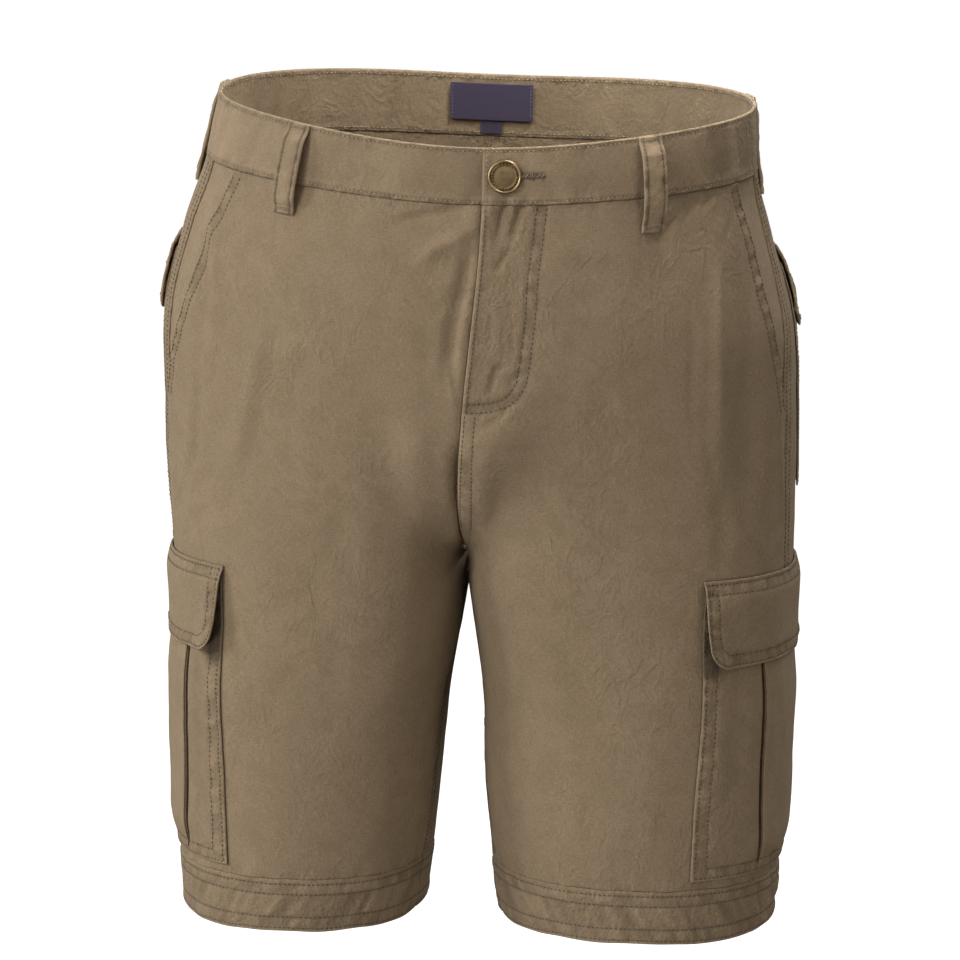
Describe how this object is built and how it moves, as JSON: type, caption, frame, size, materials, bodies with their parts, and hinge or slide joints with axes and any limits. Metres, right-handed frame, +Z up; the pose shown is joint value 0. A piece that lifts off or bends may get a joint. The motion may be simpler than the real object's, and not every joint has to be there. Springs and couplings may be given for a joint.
{
  "type": "cargo shorts",
  "caption": "Knee-length cotton twill cargo shorts, filled out as worn, with belt loops, slanted front pockets, pleated flap pockets on the thighs and a buttoned waistband.",
  "frame": {"origin": "centre of the waist opening, at mid height of the waistband's side", "axes": "+Z up out of the waist opening, +X to the wearer's left, the front faces -Y"},
  "size_m": [0.408, 0.2622, 0.5206],
  "materials": {
    "twill": "matt garment-washed cotton twill, olive khaki",
    "twill_inside": "matt cotton twill, the same cloth in the shade of an opening",
    "label": "woven satin label, dark navy, bare",
    "brass": "antique brass, rubbed bright on the raised parts",
    "tape": "woven zip tape with closed teeth"
  },
  "bodies": {
    "root": {"front_panel_left": "twill", "front_panel_right": "twill", "back_panel_left": "twill", "back_panel_right": "twill", "hem_band_left": "twill", "hem_band_right": "twill", "waistband": "twill", "belt_loop_front_left": "twill", "belt_loop_front_right": "twill", "belt_loop_side_left": "twill", "belt_loop_side_right": "twill", "belt_loop_back": "twill", "cargo_pocket_left": "twill", "cargo_pocket_right": "twill", "cargo_flap_left": "twill", "cargo_flap_right": "twill", "back_pocket_left": "twill", "back_pocket_right": "twill", "back_flap_left": "twill", "back_flap_right": "twill", "front_pocket_facing_left": "twill_inside", "front_pocket_facing_right": "twill_inside", "fly_shield": "twill_inside", "label_main": "label", "label_size": "label", "waist_button": "brass", "fly_zip": "tape"}
  },
  "joints": []
}
